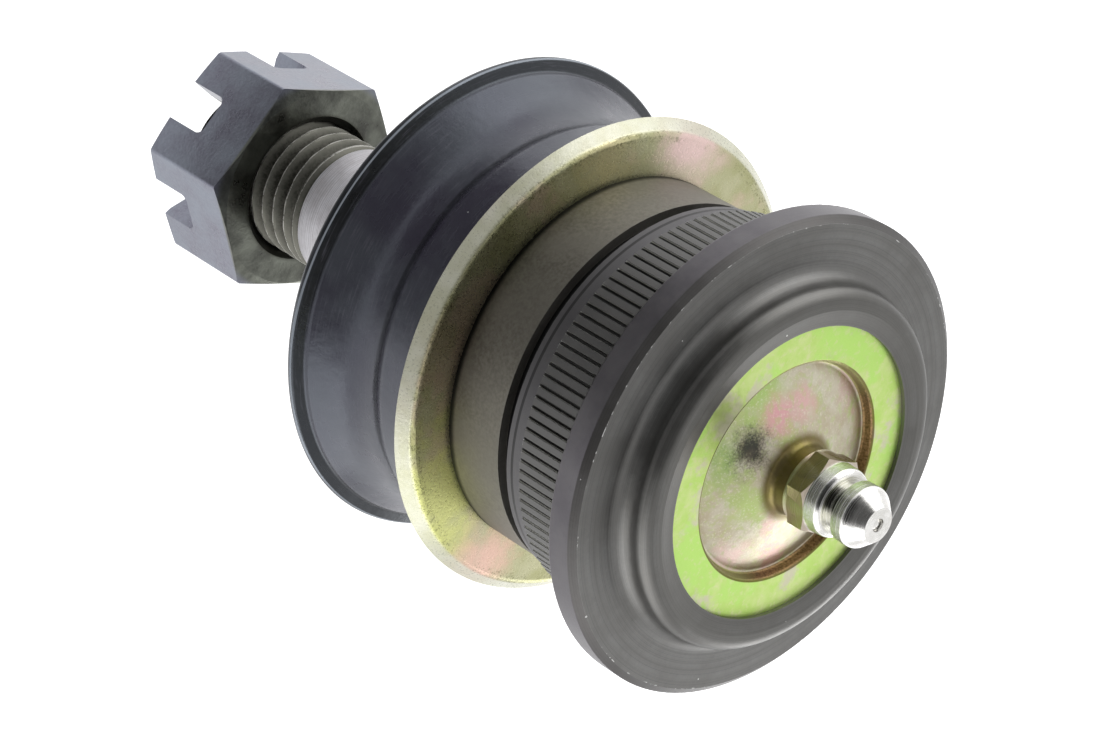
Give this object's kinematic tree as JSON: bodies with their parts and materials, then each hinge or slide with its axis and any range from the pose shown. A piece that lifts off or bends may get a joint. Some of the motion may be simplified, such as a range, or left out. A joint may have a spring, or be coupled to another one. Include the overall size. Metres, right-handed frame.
{
  "type": "suspension ball joint",
  "caption": "Press-in suspension ball joint: serrated flanged housing, domed cover with grease fitting, rubber boot, and a swivelling tapered stud with castle nut.",
  "frame": {"origin": "on the joint's axis, in the plane where the flange seats on the suspension arm", "axes": "+Z along the joint's axis towards the grease fitting, stud hanging down -Z; +Y along the split-pin hole"},
  "size_m": [0.0558, 0.0558, 0.1063],
  "materials": {
    "phosphated_steel": "dark phosphate over turned steel",
    "cover_zinc": "yellow-green iridescent zinc passivation",
    "retainer_zinc": "pale yellow iridescent zinc passivation",
    "spring_steel": "oiled spring steel",
    "bearing_steel": "sintered steel, oiled",
    "stud_steel": "turned steel with rolled thread",
    "nut_oxide": "blue-grey oxide",
    "boot_rubber": "semi-gloss black rubber",
    "fitting_nickel": "bright nickel plate"
  },
  "bodies": {
    "housing": {"housing": "phosphated_steel", "cover_plate": "cover_zinc", "disc_spring": "spring_steel", "boot_retainer": "retainer_zinc", "dust_boot": "boot_rubber", "grease_fitting": "fitting_nickel", "fitting_spring": "spring_steel"},
    "bearing_set": {"stud_bearing": "bearing_steel", "pressure_cup": "bearing_steel"},
    "boot_garter": {"boot_garter": "spring_steel"},
    "ball_stud": {"ball_stud": "stud_steel"},
    "castle_nut": {"castle_nut": "nut_oxide"},
    "check_ball": {"fitting_check_ball": "fitting_nickel"}
  },
  "joints": [
    {"name": "bearing_turn", "type": "hinge", "parent": "housing", "child": "bearing_set", "pos_m": [0, 0, -0.0125], "axis": [0, 0, 1], "continuous": true},
    {"name": "stud_swing", "type": "hinge", "parent": "bearing_set", "child": "boot_garter", "pos_m": [0, 0, -0.0125], "axis": [1, 0, 0], "range_deg": [-20, 20], "deforming": ["dust_boot"]},
    {"name": "stud_spin", "type": "hinge", "parent": "boot_garter", "child": "ball_stud", "pos_m": [0, 0, -0.0125], "axis": [0, 0, 1], "continuous": true},
    {"name": "nut_travel", "type": "slide", "parent": "ball_stud", "child": "castle_nut", "axis": [0, 0, 1], "range_m": [-0.013, 0.0054]},
    {"name": "check_ball_travel", "type": "slide", "parent": "housing", "child": "check_ball", "axis": [0, 0, -1], "range_m": [0, 0.0008], "stiffness_N_per_m": 200, "springref_m": -0.0015, "deforming": ["fitting_spring"]}
  ]
}
